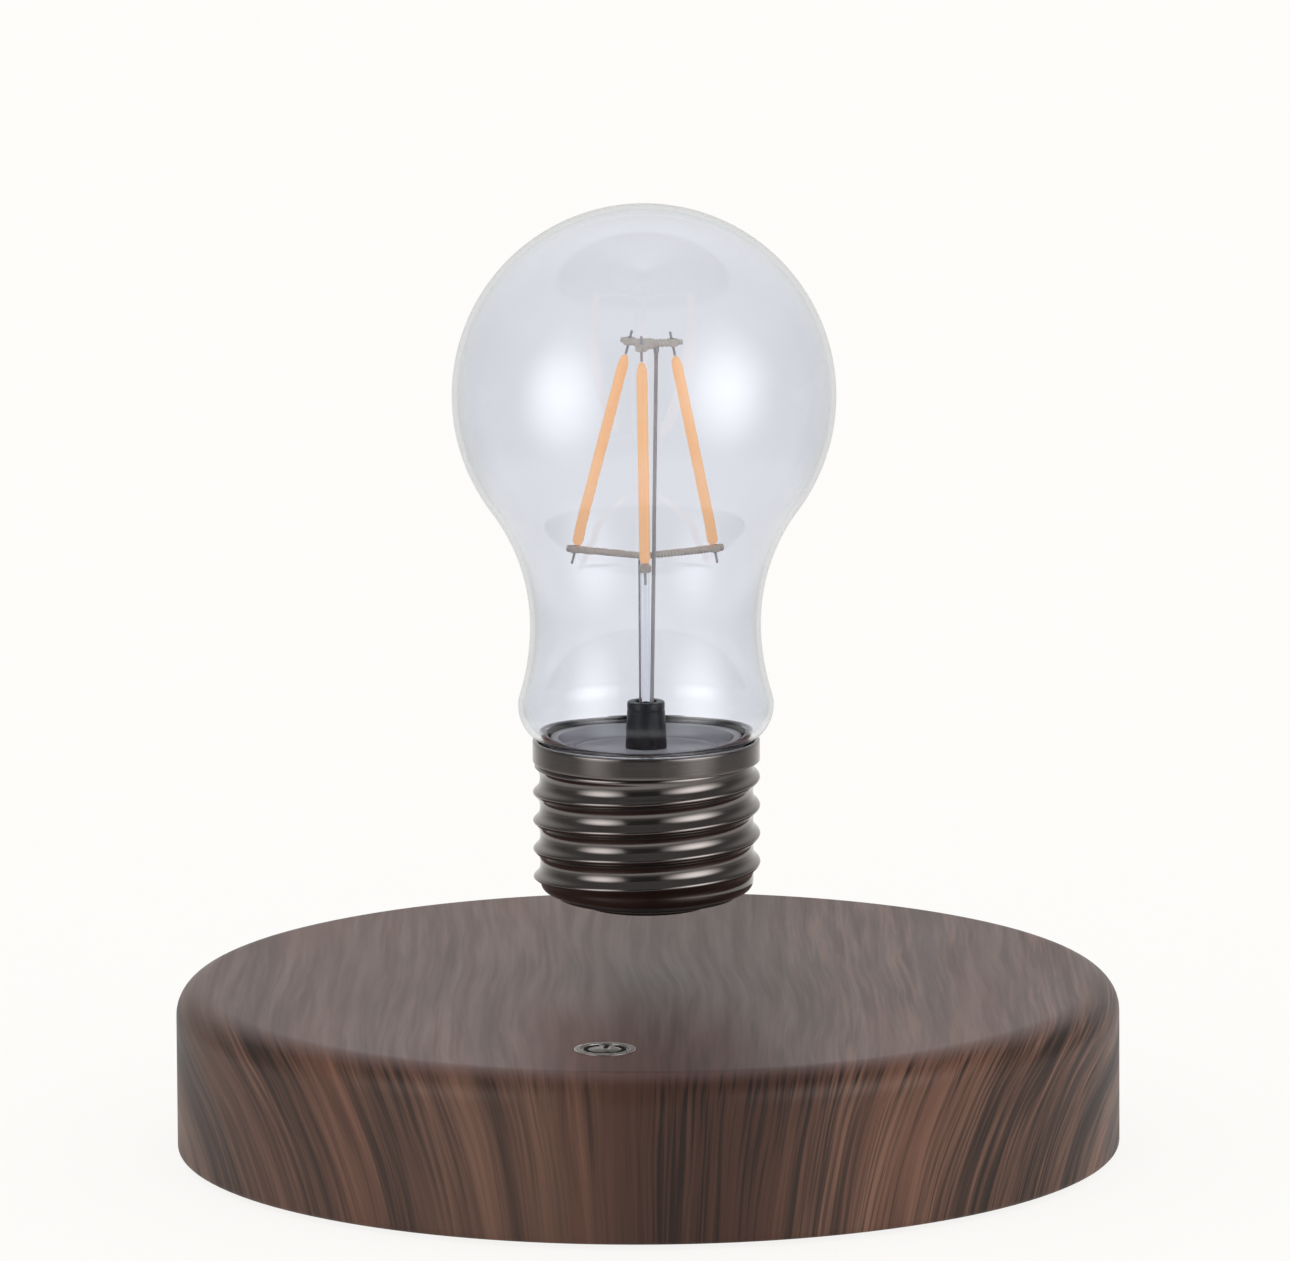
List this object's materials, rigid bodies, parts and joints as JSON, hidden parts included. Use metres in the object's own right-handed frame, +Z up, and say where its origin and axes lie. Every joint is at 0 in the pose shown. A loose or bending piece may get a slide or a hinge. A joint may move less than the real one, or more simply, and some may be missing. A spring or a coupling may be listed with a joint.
{
  "type": "levitating lamp",
  "caption": "Round walnut-finish base with a flush touch switch, above which a clear screw-cap filament bulb floats and spins.",
  "frame": {"origin": "on the table, under the middle of the round base", "axes": "+Z up the bulb's axis; -Y towards the touch switch at the front; +Y towards the power inlet at the back"},
  "size_m": [0.148, 0.148, 0.15],
  "materials": {
    "walnut_print": "satin",
    "black_plastic": "matte",
    "foot_rubber": "matte",
    "screw_steel": "satin",
    "circuit_board": "satin",
    "chip_black": "matte",
    "capacitor_sleeve": "gloss",
    "switch_metal": "satin",
    "white_plastic": "satin",
    "ferrite": "matte",
    "copper_wire": "satin",
    "magnet_nickel": "polished",
    "cap_black": "satin",
    "black_nickel": "polished",
    "clear_glass": "polished",
    "holder_black": "satin",
    "lead_metal": "satin",
    "filament_phosphor": "satin"
  },
  "bodies": {
    "base": {"base_shell": "walnut_print", "bottom_cover": "black_plastic", "foot_1": "foot_rubber", "foot_2": "foot_rubber", "foot_3": "foot_rubber", "foot_4": "foot_rubber", "cover_screw_1": "screw_steel", "cover_screw_2": "screw_steel", "cover_screw_3": "screw_steel", "cover_screw_4": "screw_steel", "main_board": "circuit_board", "control_chip": "chip_black", "driver_chip": "chip_black", "filter_capacitor": "capacitor_sleeve", "dc_jack": "black_plastic", "jack_pin": "screw_steel", "touch_bezel": "switch_metal", "touch_plate": "switch_metal", "touch_contact": "screw_steel", "magnet_tray": "white_plastic", "ring_magnet": "ferrite", "coil_shield": "ferrite", "transmit_coil": "copper_wire", "coil_bobbin_1": "white_plastic", "coil_bobbin_2": "white_plastic", "coil_bobbin_3": "white_plastic", "coil_bobbin_4": "white_plastic", "coil_winding_1": "copper_wire", "coil_winding_2": "copper_wire", "coil_winding_3": "copper_wire", "coil_winding_4": "copper_wire", "sensor_board": "circuit_board", "hall_sensor_1": "chip_black", "hall_sensor_2": "chip_black", "hall_sensor_3": "chip_black"},
    "float_magnet": {"lift_magnet": "magnet_nickel"},
    "bulb": {"cap_base": "cap_black", "cap_shell": "black_nickel", "cap_deck": "cap_black", "receiver_bobbin": "white_plastic", "receiver_winding": "copper_wire", "rectifier_board": "circuit_board", "smoothing_capacitor": "capacitor_sleeve", "glass_envelope": "clear_glass", "stem_holder": "holder_black", "stem_rod": "clear_glass", "lead_wire": "lead_metal", "mast_wire": "lead_metal", "lower_bracket": "lead_metal", "top_bracket": "lead_metal", "filament_1": "filament_phosphor", "filament_2": "filament_phosphor", "filament_3": "filament_phosphor", "foot_lead_1": "lead_metal", "foot_lead_2": "lead_metal", "foot_lead_3": "lead_metal", "top_lead_1": "lead_metal", "top_lead_2": "lead_metal", "top_lead_3": "lead_metal"}
  },
  "joints": [
    {"name": "float_lift", "type": "slide", "parent": "base", "child": "float_magnet", "axis": [0, 0, 1], "range_m": [-0.0118, 0.025], "stiffness_N_per_m": 150, "springref_m": 0.00671},
    {"name": "bulb_spin", "type": "hinge", "parent": "float_magnet", "child": "bulb", "pos_m": [0, 0, 0.0441], "axis": [0, 0, 1], "continuous": true}
  ]
}
